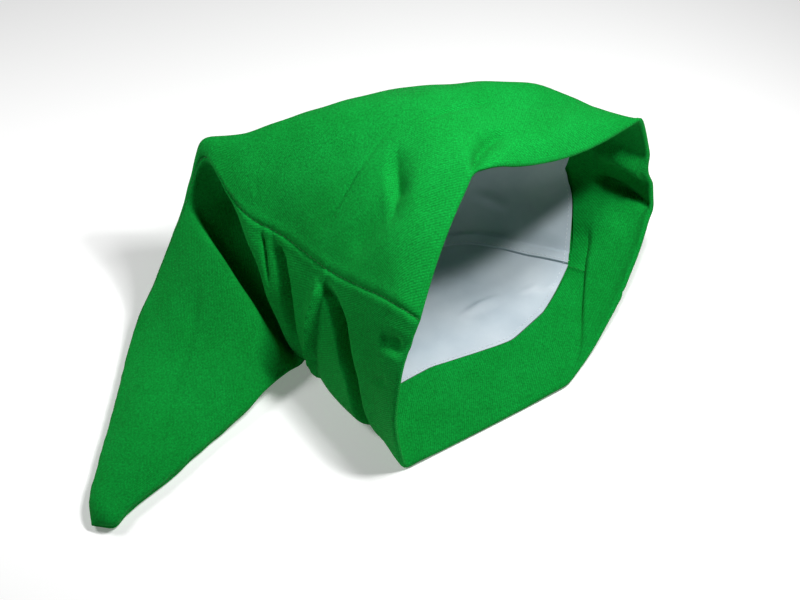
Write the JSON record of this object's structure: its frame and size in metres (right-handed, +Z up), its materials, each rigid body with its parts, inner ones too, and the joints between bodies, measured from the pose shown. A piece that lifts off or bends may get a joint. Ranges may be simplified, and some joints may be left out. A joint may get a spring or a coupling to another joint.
{
  "type": "elf hat",
  "caption": "Long pointed cloth cap lying on its side, with a broad turned-in hem round its open rim, a pale lining inside and a tail that folds over at the end.",
  "frame": {"origin": "centre of the box round the hat on the table top, as it lies on its side", "axes": "+X from the folded tail towards the head opening, +Y away from the viewer, +Z up from the table"},
  "size_m": [0.2818, 0.2082, 0.1221],
  "materials": {
    "twill": "matt green cotton twill",
    "lining": "smooth white lining satin"
  },
  "bodies": {
    "root": {"upper_panel": "twill", "lower_panel": "twill", "lining_upper": "lining", "lining_lower": "lining"}
  },
  "joints": []
}
